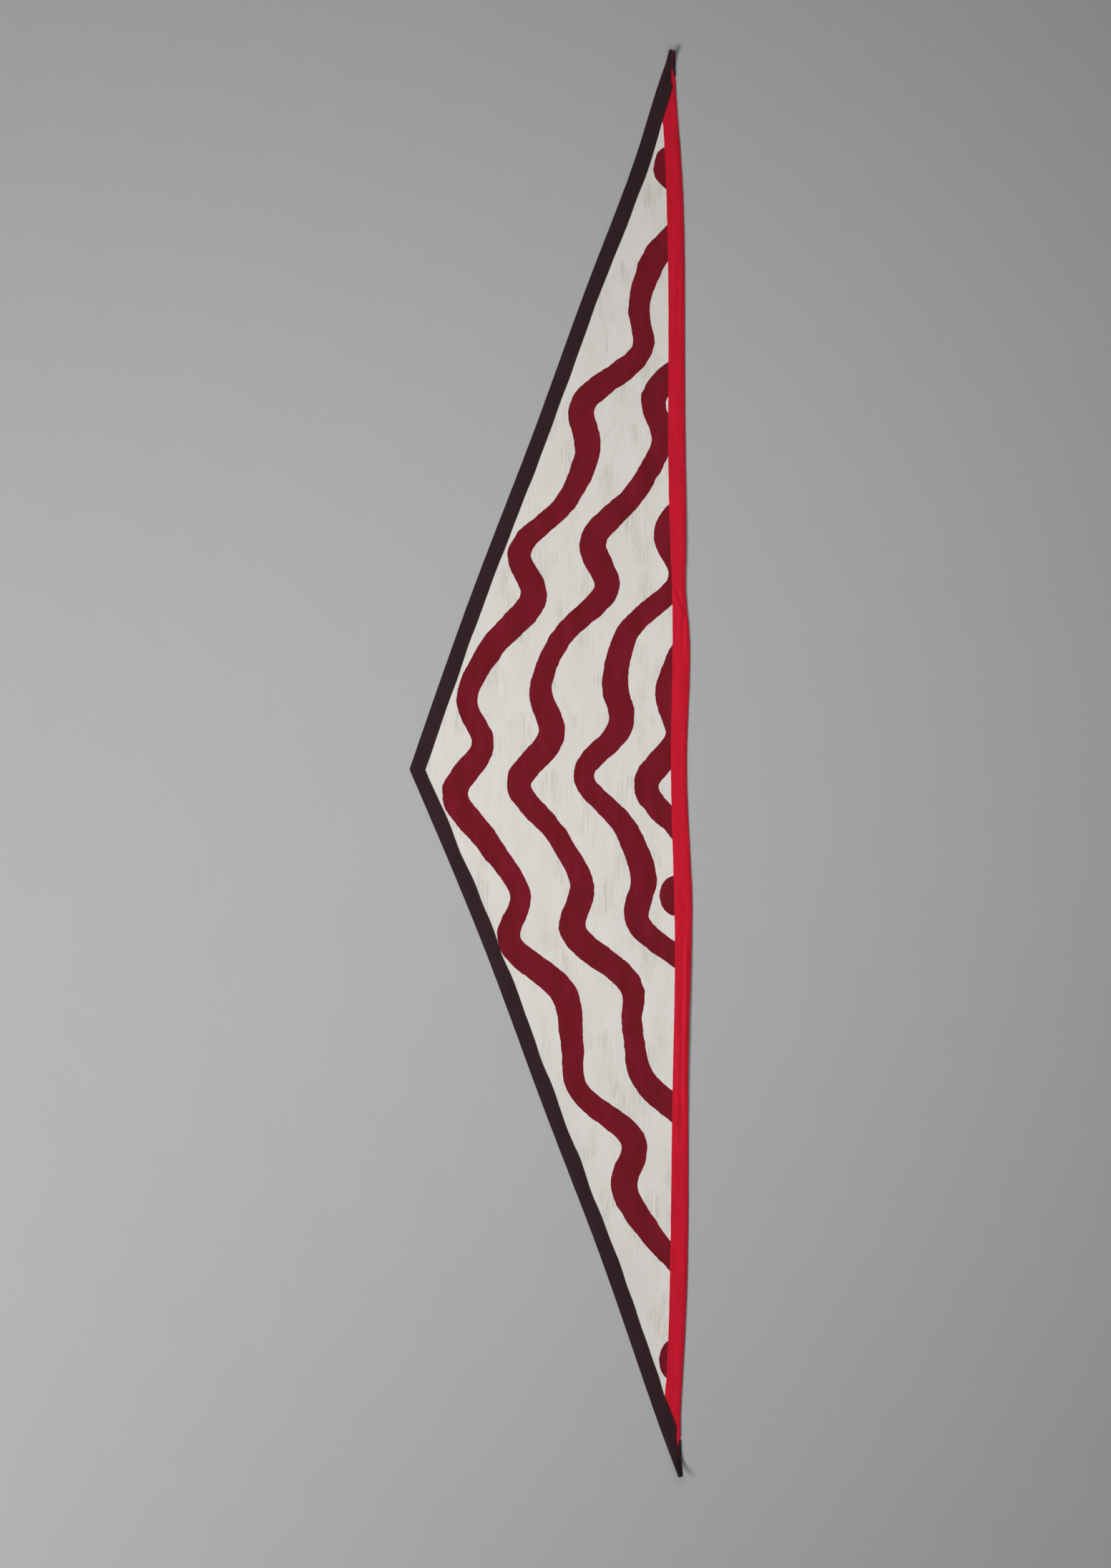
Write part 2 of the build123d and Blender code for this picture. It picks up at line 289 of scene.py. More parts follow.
def slack(x, y):
    """Height of the simulated cloth at plan points, between its points by Catmull-Rom weights."""
    def weights(t):
        return [((-t + 2) * t - 1) * t / 2, ((3 * t - 5) * t * t + 2) / 2,
                ((-3 * t + 4) * t + 1) * t / 2, (t - 1) * t * t / 2]

    u, v = (x - SLACK_X) / SLACK_STEP, (y - SLACK_Y) / SLACK_STEP
    i = np.clip(np.floor(u).astype(int), 1, SLACK_NX - 3)
    j = np.clip(np.floor(v).astype(int), 1, SLACK_NY - 3)
    wu, wv = weights(np.clip(u - i, 0, 1)), weights(np.clip(v - j, 0, 1))
    return sum(wu[a] * wv[b] * slack_field[j + b - 1, i + a - 1] for a in range(4) for b in range(4))


def curl(x, y):
    """How far the tips stand up from the surface. They also twist, with the brown side up."""
    reach = np.maximum(np.maximum(y - TOP_CURL_START, BOTTOM_CURL_START - y), 0)
    rise = CURL_RADIUS - np.sqrt(CURL_RADIUS ** 2 - reach ** 2)
    middle = (left_edge(y) + right_edge(y)) / 2
    return rise + TWIST * (middle - x) * rise / (rise + TWIST_RISE)


def side_lift(x, y):
    """The red side stands a little off the surface, more so above the upper join and below the lower one."""
    part = np.clip((x - red_inner(y) + 8) / 30, 0, 1.2) ** 1.5
    return part * sum((height * bump_at(y, middle, reach) for middle, reach, height in LIFTS), LIFT)


def settle(x, y, z):
    """The points where plan points and heights lie on the surface. The very ends are cut a little askew."""
    askew = 0.0
    for (slope, middle), tip, start in ((TOP_SKEW, TOP_TIP, TOP_TIP - SKEW_REACH),
                                        (BOTTOM_SKEW, BOTTOM_TIP, BOTTOM_TIP + SKEW_REACH)):
        askew = askew + slope * (x - middle) * step_up(y, start, tip)
    return np.stack([x, y - askew, z + curl(x, y) + side_lift(x, y)], axis=-1)


def ground_height(x, y):
    """Underside of the ground cloth: up inside the hems, down on the surface between them."""
    inside = np.minimum((x - brown_inner(y)) * SQUARE_SHARE, red_inner(y) - x)
    open_part = step_up(inside, -1.0, HEM_REACH)
    creases = sum(height * wander(x, y, *rest) for height, *rest in GROUND_CREASES)
    resting = np.maximum(0.10 + slack(x, y) + open_part * creases, LOWEST_GROUND)
    return GROUND_IN_HEM * (1 - open_part) + resting * open_part


# ---------------- objects
SHARP = math.radians(65)  # faces that meet at a larger angle make a hard edge


def metres(points):
    """Plan points in millimetres, as points of the frame in metres."""
    return (np.asarray(points, float) + (0, PLAN_SHIFT_Y, 0)) * MM


def make_object(name, points, faces, material, repair_normals=False):
    """A smooth-shaded mesh object from points in millimetres."""
    obj = mesh_object(name, metres(points), faces)
    mesh = obj.data
    if repair_normals:
        bm = bmesh.new()
        bm.from_mesh(mesh)
        bmesh.ops.recalc_face_normals(bm, faces=bm.faces)
        bm.to_mesh(mesh)
        bm.free()
    mesh.polygons.foreach_set("use_smooth", [True] * len(mesh.polygons))
    mesh.set_sharp_from_angle(angle=SHARP)
    mesh.materials.append(material)
    mesh.update()
    return obj


def joined(*parts):
    """Points and faces of several shells as one."""
    points, faces = [], []
    for more, more_faces in parts:
        faces += [tuple(i + len(points) for i in face) for face in more_faces]
        points += list(more)
    return np.array(points), faces


def tube_faces(rings, count):
    """Faces of a closed tube of rings that have count points each."""
    faces = []
    for r in range(rings - 1):
        for k in range(count):
            a, b = r * count + k, r * count + (k + 1) % count
            faces.append((a, b, b + count, a + count))
    return faces + [tuple(range(count))[::-1], tuple(range((rings - 1) * count, rings * count))]


def finish_piece(obj, slot, *nodes):
    """Puts a piece on the frame and hides the CAD nodes that it stands for. slot is not used."""
    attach(obj, "root")
    if nodes:
        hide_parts(*nodes)
    return obj


# ---------------- materials
class Shader:
    """A Principled material and the few nodes that the cloths share."""

    def __init__(self, name, roughness, specular, sheen, sheen_roughness=0.5):
        self.material = bpy.data.materials.new(name)
        self.material.use_nodes = True
        self.nodes = self.material.node_tree.nodes
        self.links = self.material.node_tree.links
        self.surface = next(n for n in self.nodes if n.type == "BSDF_PRINCIPLED")
        self.set(self.surface, "Roughness", roughness)
        self.set(self.surface, "Specular IOR Level", specular)
        self.set(self.surface, "Sheen Weight", sheen)
        self.set(self.surface, "Sheen Roughness", sheen_roughness)
        self.place = self.nodes.new("ShaderNodeTexCoord").outputs["Object"]

    def set(self, node, socket, value):
        node.inputs[socket].default_value = value

    def join(self, source, target):
        self.links.new(source, target)

    def stretched(self, across, along, turn=0.0):
        """Object coordinates where one unit is across by along, in millimetres."""
        mapping = self.nodes.new("ShaderNodeMapping")
        mapping.inputs["Rotation"].default_value = (0, 0, turn)
        mapping.inputs["Scale"].default_value = (1 / (across * MM), 1 / (along * MM), 1 / (across * MM))
        self.join(self.place, mapping.inputs["Vector"])
        return mapping.outputs["Vector"]

    def noise(self, across, along, detail=2.0, roughness=0.5, turn=0.0):
        node = self.nodes.new("ShaderNodeTexNoise")
        self.set(node, "Scale", 1.0)
        self.set(node, "Detail", detail)
        self.set(node, "Roughness", roughness)
        self.join(self.stretched(across, along, turn), node.inputs["Vector"])
        return node.outputs["Fac"]

    def feed(self, value, socket):
        """Gives a socket a number, a colour or another node's output."""
        if isinstance(value, (int, float)):
            socket.default_value = value
        elif isinstance(value, tuple):
            socket.default_value = (*value, 1)
        else:
            self.join(value, socket)

    def math(self, operation, a, b):
        node = self.nodes.new("ShaderNodeMath")
        node.operation = operation
        for socket, value in zip(node.inputs, (a, b)):
            self.feed(value, socket)
        return node.outputs[0]

    def mapped(self, value, low, high, to_low, to_high):
        node = self.nodes.new("ShaderNodeMapRange")
        limits = {"From Min": low, "From Max": high, "To Min": to_low, "To Max": to_high}
        for socket, number in limits.items():
            self.set(node, socket, number)
        self.join(value, node.inputs["Value"])
        return node.outputs["Result"]

    def mix(self, factor, first, second):
        node = self.nodes.new("ShaderNodeMix")
        node.data_type = "RGBA"
        colours = [s for s in node.inputs if s.type == "RGBA"]
        for socket, value in zip([node.inputs[0], *colours], (factor, first, second)):
            self.feed(value, socket)
        return next(s for s in node.outputs if s.type == "RGBA")

    def weave(self, pitch, direction):
        """A sine ripple at the yarns' pitch, from 0 to 1, across the given axis."""
        wave = self.nodes.new("ShaderNodeTexWave")
        wave.bands_direction = direction
        self.set(wave, "Scale", math.tau / (20 * pitch * MM))  # the node's own ripple is tau / 20 long
        self.set(wave, "Distortion", 0.6)
        self.set(wave, "Detail", 1.0)
        self.set(wave, "Detail Scale", 2.0)
        self.join(self.place, wave.inputs["Vector"])
        return wave.outputs["Fac"]

    def bump(self, height, distance, strength, after=None):
        node = self.nodes.new("ShaderNodeBump")
        self.set(node, "Distance", distance * MM)
        self.set(node, "Strength", strength)
        self.join(height, node.inputs["Height"])
        if after is not None:
            self.join(after, node.inputs["Normal"])
        return node.outputs["Normal"]


def scaled(colour, factor):
    return tuple(min(1.0, c * factor) for c in colour)


def cotton(name, dark, light, streak_colour, yarn=0.60, streak=0.6, creased=0.5, sheen=0.04,
           blotch=(34.0, 95.0)):
    """Plain-weave cotton: soft blotches, patches of fine lengthwise streaks, slubs and the yarns' relief.

    dark and light are the colours of the blotches. streak says how strongly the streaks show in their
    patches, and creased how deep they are. In the red cloth the light colour is a painted highlight and
    streak_colour a painted fold shade.
    """
    shader = Shader(name, 0.88, 0.12, sheen)
    blotches = shader.mapped(shader.noise(*blotch, 3.0, 0.55), 0.34, 0.68, 0.0, 1.0)
    patches = shader.mapped(shader.noise(36.0, 74.0, 2.0, 0.5), 0.50, 0.64, 0.10, 1.0)
    lines = shader.mapped(shader.noise(2.6, 40.0, 3.0, 0.7), 0.42, 0.70, 0.0, 1.0)
    slubs = shader.mapped(shader.noise(0.7, 12.0, 2.0, 0.6), 0.55, 0.80, 0.0, 0.3)
    streaks = shader.math("MULTIPLY", lines, patches)
    base = shader.mix(blotches, dark, light)
    streaked = shader.mix(shader.math("MULTIPLY", streaks, streak), base, streak_colour)
    shader.join(shader.mix(slubs, streaked, streak_colour), shader.surface.inputs["Base Color"])
    yarns = shader.math("MULTIPLY", shader.weave(yarn, "X"), shader.weave(yarn, "Y"))
    relief = shader.bump(yarns, 0.05, 0.5)
    relief = shader.bump(slubs, 0.08, 0.5, relief)
    relief = shader.bump(streaks, 0.5, creased, relief)
    shader.join(relief, shader.surface.inputs["Normal"])
    return shader.material


def thread(name, colour):
    """Twisted sewing thread: fine slanting ridges, painted lighter on their tops and darker between them as
    light and shade.
    """
    shader = Shader(name, 0.55, 0.25, 0.05)
    twist = shader.noise(0.12, 0.5, 1.0, 0.5, turn=0.6)
    # lighter and darker copies of the colour follow the ridges: painted highlight on their tops, painted
    # shade between them
    tone = shader.mix(twist, scaled(colour, 0.8), scaled(colour, 1.2))
    shader.join(tone, shader.surface.inputs["Base Color"])
    shader.join(shader.bump(twist, 0.05, 0.6), shader.surface.inputs["Normal"])
    return shader.material


ground_cotton = cotton("ground_cotton", (0.786, 0.750, 0.701), (0.843, 0.805, 0.758), (0.535, 0.515, 0.460))
burgundy_print = cotton("burgundy_print", (0.170, 0.0075, 0.0137), (0.222, 0.0090, 0.0228),
                        (0.125, 0.0080, 0.0130), blotch=(16.0, 60.0), creased=0.35)
show_through = cotton("print_from_the_back", (0.38, 0.145, 0.155), (0.46, 0.185, 0.195), (0.52, 0.30, 0.29))
brown_cotton = cotton("brown_cotton", (0.031, 0.0145, 0.0175), (0.037, 0.0175, 0.0205),
                      (0.052, 0.026, 0.029), yarn=0.55, streak=0.35, sheen=0.02)
# the red's own colour is the dark one; its light blotch colour is a painted highlight and its streak colour
# a painted fold shade, scattered at random
red_cotton = cotton("red_cotton", (0.610, 0.0090, 0.0275), (0.695, 0.0100, 0.0350), (0.460, 0.0090, 0.0260),
                    yarn=0.50, streak=0.55, blotch=(12.0, 40.0))
THREAD_COLOURS = {
    "brown_thread": (0.045, 0.022, 0.025), "red_thread": (0.50, 0.012, 0.030),
    "pale_thread": (0.74, 0.68, 0.62)}
threads = {name: thread(name, colour) for name, colour in THREAD_COLOURS.items()}


# ---------------- ground cloth and print
GRID = 7.5  # spacing of the ground cloth's points, in rows that are closer together
ROW_SHARE = 0.87
CLEAR_OF_CUT, CLEAR_SHARE = 1.5, 0.42  # room at the cut edge, and round other points as a share of GRID
CURVE_STEP = 2.4  # spacing along the print's edges
CUT_POINTS = 300  # on each side of the cut edge
ONLY_INSIDE = 1  # the triangulation's output: triangles inside the outlines
MERGE = 0.02  # points nearer to each other than this become one
# bumps of a hand-cut stencil: size, length, seed
STENCIL_BUMPS = ((1.5, 17.0, 0.0), (0.7, 5.5, 2.0))


def ground_outline():
    """The cut edge of the ground cloth, once round, the way the print's outlines go."""
    ys = np.linspace(GROUND_TO, GROUND_FROM, CUT_POINTS)
    left = np.stack([left_edge(ys) + EDGE_GAP, ys], axis=1)
    right = np.stack([right_edge(ys) - EDGE_GAP, ys], axis=1)
    return np.concatenate([left, right[::-1]])


def middle_x(y, bend_x, turn):
    """The middle line of a band."""
    lean = BAND_LEAN * (math.hypot(y - BEND_Y, BEND_RADIUS) - BEND_RADIUS)
    waves = [size * math.sin(2 * math.pi * (y - BEND_Y) / length + turn) for size, length in WAVES]
    return bend_x + lean + sum(waves)


def edge_point(y, bend_x, turn, side):
    """The point on a band's left (-1) or right (1) edge that is square across from its middle line at y."""
    slope = (middle_x(y + 1, bend_x, turn) - middle_x(y - 1, bend_x, turn)) / 2
    half = BAND_HALF + SWELL * math.sin(2 * math.pi * y / SWELL_LENGTH + 3 * turn)
    out = side * half / math.hypot(1, slope)
    return middle_x(y, bend_x, turn) + out, y - out * slope


def band_edge(bend_x, turn, side):
    """A band's edge, listed downwards, from one end under the red binding to the other."""
    ends = []
    for step in (1, -1):
        y = BEND_Y
        while edge_point(y, bend_x, turn, side)[0] < RUN_OUT:
            y += step
        ends.append(y)
    count = round((ends[0] - ends[1]) / BAND_STEP)
    rows = [ends[0] + (ends[1] - ends[0]) * i / count for i in range(count + 1)]
    return [edge_point(y, bend_x, turn, side) for y in rows]


def hand_cut(points):
    """The same outline with the small bumps of a hand-cut stencil."""
    x, y = points[:, 0], points[:, 1]
    moves = [sum(size * wander(x, y, seed + more, length, length) for size, length, more in STENCIL_BUMPS)
             for seed in (61.0, 71.0)]
    return points + np.stack(moves, axis=1)


def band_outline(bend_x, turn):
    """A band's outline, once round."""
    left, right = (smooth_curve(band_edge(bend_x, turn, side), CURVE_STEP) for side in (-1, 1))
    return hand_cut(np.concatenate([left, right[::-1]]))


def spot_outline(middle, left, half):
    """The rounded left edge of a printed spot, listed downwards. Its right side is straight."""
    angles = [math.radians(a) for a in range(90, -91, -15)]
    edge = [(SPOT_RIGHT - (SPOT_RIGHT - left) * math.cos(a), middle + half * math.sin(a)) for a in angles]
    return hand_cut(smooth_curve(edge, CURVE_STEP))


def inside_points(taken):
    """A grid of points inside the ground cloth, clear of the points that outlines already have."""
    tree = kdtree.KDTree(len(taken))
    for i, (x, y) in enumerate(taken):
        tree.insert((x, y, 0), i)
    tree.balance()
    found = []
    for row, y in enumerate(np.arange(GROUND_FROM + GRID / 2, GROUND_TO, GRID * ROW_SHARE)):
        low, high = float(left_edge(y)) + EDGE_GAP, float(right_edge(y)) - EDGE_GAP
        start = math.ceil(low / GRID) * GRID + (GRID / 2 if row % 2 else 0)
        for x in np.arange(start, high, GRID):
            clear_of_cut = low + CLEAR_OF_CUT < x < high - CLEAR_OF_CUT
            if clear_of_cut and tree.find((x, y, 0))[2] > GRID * CLEAR_SHARE:
                found.append((x, y))
    return found


def triangulate_ground():
    """Points and triangles that follow every edge of the print, and the print that each triangle is in."""
    outlines = [ground_outline()] + [band_outline(*bend) for bend in BENDS.values()]
    outlines += [spot_outline(*size) for size in SPOTS]
    points, polygons = [], []
    for outline in outlines:
        polygons.append(list(range(len(points), len(points) + len(outline))))
        points += [tuple(p) for p in outline]
    points += inside_points(points)
    found = delaunay_2d_cdt([Vector(p) for p in points], [], polygons, ONLY_INSIDE, MERGE)
    names = list(BENDS) + ["print_edge_spots"] * len(SPOTS)
    triangles, printed = [], []
    for face, sources in zip(found[2], found[5]):
        if 0 in sources:
            prints = [s for s in sources if s > 0]
            triangles.append(tuple(face))
            printed.append(names[min(prints) - 1] if prints else None)
    return np.array([tuple(v) for v in found[0]]), triangles, printed


def closed_sheet(plan, triangles, low, high):
    """Points and faces of a closed sheet between two heights over the given triangles."""
    used = sorted({i for t in triangles for i in t})
    index = {old: new for new, old in enumerate(used)}
    x, y = plan[used, 0], plan[used, 1]
    count = len(used)
    points = np.concatenate([settle(x, y, low(x, y)), settle(x, y, high(x, y))])
    faces, sides = [], {}
    for t in triangles:
        a, b, c = (index[i] for i in t)
        faces += [(a + count, b + count, c + count), (c, b, a)]
        for edge in ((a, b), (b, c), (c, a)):
            sides[edge] = True
    for a, b in sides:
        if (b, a) not in sides:
            faces.append((a, b, b + count, a + count))
    return points, faces


def make_ground():
    """The ground cloth, its print on both sides, and the cloth's flat area in square metres."""
    plan, triangles, printed = triangulate_ground()

    def sheet(name, chosen, low, high, material, slot, *nodes):
        points, faces = closed_sheet(plan, chosen, lambda x, y: ground_height(x, y) + low,
                                     lambda x, y: ground_height(x, y) + high)
        return finish_piece(make_object(name, points, faces, material), slot, *nodes)

    ground = sheet("ground_cloth_visual", triangles, 0, GROUND_THICK, ground_cotton, "ground_cotton",
                   "ground_cloth")
    prints = []
    for name in list(BENDS) + ["print_edge_spots"]:
        chosen = [t for t, p in zip(triangles, printed) if p == name]
        prints.append(sheet(name + "_visual", chosen, GROUND_THICK - FILM / 2, GROUND_THICK + FILM,
                            burgundy_print, "burgundy_print", name))
    chosen = [t for t, p in zip(triangles, printed) if p]
    prints.append(sheet("print_seen_from_the_back", chosen, -FILM, FILM / 2, show_through, "burgundy_print"))
    corner = plan[np.array(triangles)]
    a, b = corner[:, 1] - corner[:, 0], corner[:, 2] - corner[:, 0]
    area = float(np.abs(a[:, 0] * b[:, 1] - a[:, 1] * b[:, 0]).sum() / 2) * MM * MM
    return ground, prints, area


# ---------------- folded strips
HEM, HEM_SHARE = 6.0, 0.55  # how far the raw edges are turned in, and the largest share of a leaf's width
FRONT_POINTS, BACK_POINTS = 18, 4  # across each leaf, between its folds
NOOK = 1.2  # the cloth doubles back this far inside a leaf's inner edge,
LEAF_END, LEAF_START = 0.9, 0.3  # and a leaf's even part stops this far from its two folds


class Strip:
    """A strip of cloth folded lengthwise round the edge of the ground cloth, raw edges turned in.

    outer and inner give x at the folded outer edge and at the front leaf's inner edge. back_inner is the
    same for the back leaf. front gives the height of the middle of the front leaf at a plan point, and
    back that of the back leaf. s is the distance in from the outer edge.
    """

    def __init__(self, outer, inner, back_inner, front, back, fold, slant=lambda y: 0.0, slant_x=0.0):
        self.outer, self.inner, self.back_inner = outer, inner, back_inner
        self.front, self.back, self.fold = front, back, fold
        self.slant, self.slant_x = slant, slant_x

    def real_y(self, y, x):
        """The plan's y of a point of the cross-section at y. Near the joins the cross-sections slant."""
        return y + self.slant(y) * (x - self.slant_x)

    def path(self, y):
        """The middle line of the cloth in one cross-section, as (x, z) pairs."""
        outer, inner, back_inner = (float(f(y)) for f in (self.outer, self.inner, self.back_inner))
        side = 1.0 if inner > outer else -1.0
        width, back_width = abs(inner - outer), abs(back_inner - outer)
        turn, hem = PITCH / 2, min(HEM, HEM_SHARE * min(width, back_width))
        under = float(self.back(y))

        def lie(s, z):
            return outer + side * s, z

        def top(s):
            x = outer + side * s
            return float(self.front(x, self.real_y(y, x), s, width))

        def arc(degrees, s, z, across, up):
            return [lie(s + across * math.cos(a), z + up * math.sin(a)) for a in map(math.radians, degrees)]

        path = [lie(width - hem, top(width - hem) - PITCH), lie(width - NOOK, top(width - NOOK) - PITCH)]
        path += arc((-90, -35, 20, 75), width - turn, top(width - turn) - turn, turn, turn)
        for t in np.linspace(0, 1, FRONT_POINTS):
            s = width - LEAF_END + (self.fold + LEAF_START - width + LEAF_END) * t
            path.append(lie(s, top(s)))
        half_rise = (top(self.fold) - under) / 2
        path += arc((60, 30, 0, -30, -60), self.fold, under + half_rise, -self.fold, half_rise)
        for t in np.linspace(0, 1, BACK_POINTS):
            s = self.fold + LEAF_START + (back_width - LEAF_END - self.fold - LEAF_START) * t
            path.append(lie(s, under))
        path += arc((-75, -20, 35, 90), back_width - turn, under + turn, turn, turn)
        path += [lie(back_width - NOOK, under + PITCH), lie(back_width - hem, under + PITCH)]
        return np.array(path)

    def build(self, rows):
        """The strip as a closed shell, one cross-section for each of the rows."""
        paths = [self.path(y) for y in rows]
        count = len(paths[0])
        points = []
        for y, path in zip(rows, paths):
            along = np.gradient(path, axis=0)
            along /= np.maximum(np.linalg.norm(along, axis=1), 1e-9)[:, None]
            normal = np.stack([-along[:, 1], along[:, 0]], axis=1) * CLOTH / 2
            for line in (path + normal, path - normal):
                x, z = line[:, 0], np.maximum(line[:, 1], FLOOR_GAP)
                points.append(settle(x, self.real_y(y, x), z))
        points = np.concatenate(points)
        faces = []
        for r in range(len(rows) - 1):
            a, b = 2 * r * count, 2 * (r + 1) * count
            for k in range(count - 1):
                faces.append((a + k, a + k + 1, b + k + 1, b + k))
                faces.append((a + count + k, b + count + k, b + count + k + 1, a + count + k + 1))
            for k in (0, count - 1):
                faces.append((a + k, b + k, b + count + k, a + count + k))
        for a in (0, 2 * (len(rows) - 1) * count):
            for k in range(count - 1):
                faces.append((a + k, a + k + 1, a + count + k + 1, a + count + k))
        return points, faces


STITCH_INSET = 2.3  # from an inner edge to the middle of its topstitching
STITCH_DENT = 0.14  # how deep the topstitching pulls the front leaf in
OVER_RED = 0.95  # how much higher a border lies where the red binding runs under it
# near the tips, where layers pile up: the stretches of Y in which something sets in
BORDER_TIPS = ((876, 905), (-850, -882))
RED_TIPS = ((870, 905), (-840, -875))
WRAP_TIPS = ((955, 962), (-935, -941))


def in_tips(y, stretches):
    """0 over most of the length, and 1 past either stretch."""
    return sum(step_up(y, *stretch) for stretch in stretches)


def border_front(x, y, s, width):
    """Middle of a border's front leaf: lower outside the ground cloth's cut edge, dented by the stitches."""
    z = BROWN_FRONT - 0.42 * step_up(s, 6.6, 3.2) - STITCH_DENT * bump_at(s, width - STITCH_INSET, 1.1)
    z = z + 0.10 * bump_at(s, width / 2 + 2, 5.0) + 0.10 * wander(x, y, 11.0, 7.0, 34.0)
    return z + OVER_RED * in_tips(y, BORDER_TIPS) * step_up(x - red_inner(y), -3.0, 1.0)


def flat_back(y):
    return BACK


def wobble(edge, seed, amount=0.30, slow=0.0):
    """An edge that isn't ruled straight, as a folded one never is. slow is for its long waves."""
    return lambda y: (edge(y) + amount * wander(0.0, y, seed, 1.0, 23.0)
                      + 0.5 * amount * wander(0.0, y, seed + 5, 1.0, 7.0)
                      + slow * wander(0.0, y, seed + 9, 1.0, 48.0))


def rows_between(first, last, step):
    return np.linspace(first, last, max(2, int(round(abs(last - first) / step)) + 1))


BORDER_ROW, WRAP_ROW = 4.0, 2.5  # spacing of the cross-sections
BROWN_FOLD, RED_FOLD = 0.9, 1.2  # how far in from the outer edge the soft fold reaches
APEX_Y = APEX[1]
MITRE_GAP = 0.02
WRAP_HEIGHT = 2.05  # middle of a border's end where it wraps round the right side
WRAP_BACK = 3.6  # how far the wrapped end reaches in on the back
BACK_WIDER = 1.0  # a back leaf reaches in this much further than its front leaf,
BACK_CLEAR = 4.5  # but a border's stays this far from the right side


def border_strip(outer, inner, seed, slow):
    def back_inner(y):
        return np.minimum(inner(y) + BACK_WIDER, right_edge(y) - BACK_CLEAR)
    return Strip(wobble(outer, seed, 0.2), wobble(inner, seed + 1, slow=slow), back_inner, border_front,
                 flat_back, BROWN_FOLD)


def wrap_strip(front_edge):
    """A border's end, folded on round the red side at the tip."""
    return Strip(right_edge, x_along(*corners(front_edge)), lambda y: right_edge(y) - WRAP_BACK,
                 lambda x, y, s, width: WRAP_HEIGHT, flat_back, BROWN_FOLD)


def make_borders():
    made = []
    for name, border, wrap, first, last, wrap_first in (
            ("upper_border", border_strip(left_upper, inner_upper, 20.0, 1.0), wrap_strip(UPPER_WRAP),
             APEX_Y + MITRE_GAP, TOP_TIP, 962.5),
            ("lower_border", border_strip(left_lower, inner_lower, 22.0, 2.4), wrap_strip(LOWER_WRAP),
             APEX_Y - MITRE_GAP, BOTTOM_TIP, -942.5)):
        points, faces = joined(border.build(rows_between(first, last, BORDER_ROW)),
                               wrap.build(rows_between(wrap_first, last, WRAP_ROW)))
        piece = make_object(name + "_visual", points, faces, brown_cotton, True)
        made.append(finish_piece(piece, "brown_cotton", name))
    return made


# ---------------- red binding
def past_join(x, y, join_y, slope):
    """How far along Y a plan point is past a slanting join."""
    return y - (join_y + slope * (x - JOIN_X))


def crease(x, y, start, end, spread):
    """A ridge of height 1 along the line from start to end. It fades out past its ends, more slowly."""
    (x0, y0), (x1, y1) = start, end
    length = math.hypot(x1 - x0, y1 - y0)
    along = ((x - x0) * (x1 - x0) + (y - y0) * (y1 - y0)) / length
    aside = ((x - x0) * (y1 - y0) - (y - y0) * (x1 - x0)) / length
    past = np.maximum(np.maximum(-along, along - length), 0)
    return bump_at(aside, 0, spread) * bump_at(past, 0, 3 * spread)


# creases of the red binding: (start, end, spread, height), with valleys below zero
RED_CREASES = [
    ((176.5, 243), (188.5, 213), 1.8, -1.10), ((172.5, 240), (183, 212), 2.2, 0.65),  # upper join
    ((186, 205), (184.5, 172), 1.5, -0.75), ((181, 206), (179.5, 160), 1.8, 0.45),
    ((175.5, 206), (174, 176), 1.4, -0.40), ((189.5, 202), (188, 168), 1.3, 0.35),
    ((194, -211), (186, -223), 1.4, -0.80), ((188, -200), (183, -172), 1.7, -0.45),  # lower join
    ((184, -206), (177, -188), 1.8, 0.45), ((183, -226), (176, -246), 1.6, -0.35),
    ((191, -226), (187.5, -300), 1.9, 0.50),
    ((190, -262), (186.5, -450), 2.3, 0.85), ((185, -245), (181.5, -520), 2.5, -0.75),  # below it
    ((176, -300), (177, -480), 2.3, 0.35), ((186, 420), (184, 700), 2.3, 0.30),
    ((178, 560), (177.5, 780), 2.2, -0.30), ((181, 40), (180.5, -110), 2.2, -0.35)]

RED_CROWN = 0.30  # how much its middle rises above its edges, except near the tips
RED_TIP_DROP = 0.30  # how much lower its front leaf lies near the tips
ROLL, ROLL_REACH = 1.05, 4.6  # how far the outer edge rolls down, and how far in the roll begins
LIP, LIP_REACH = 0.25, 1.5  # the roll's last and steepest part
JOIN_DIP = 1.5  # spread of the dip along a join
SLANT_REACH = 90.0  # how far from a join the cross-sections slant
SOFT_LIMIT = 0.12  # how softly the front leaf comes down on the layers under it
RED_BACK_RISE = 0.40  # how much its back leaf rises over a border's near the tips
WRAP_TUCK = 1.0
RED_ROW = 3.0  # spacing of the cross-sections
JOIN_GAP = 0.01
# long folds: height, seed, size across, size along
RED_FOLDS = ((0.36, 31.0, 10.0, 85.0), (0.20, 37.0, 4.5, 38.0))


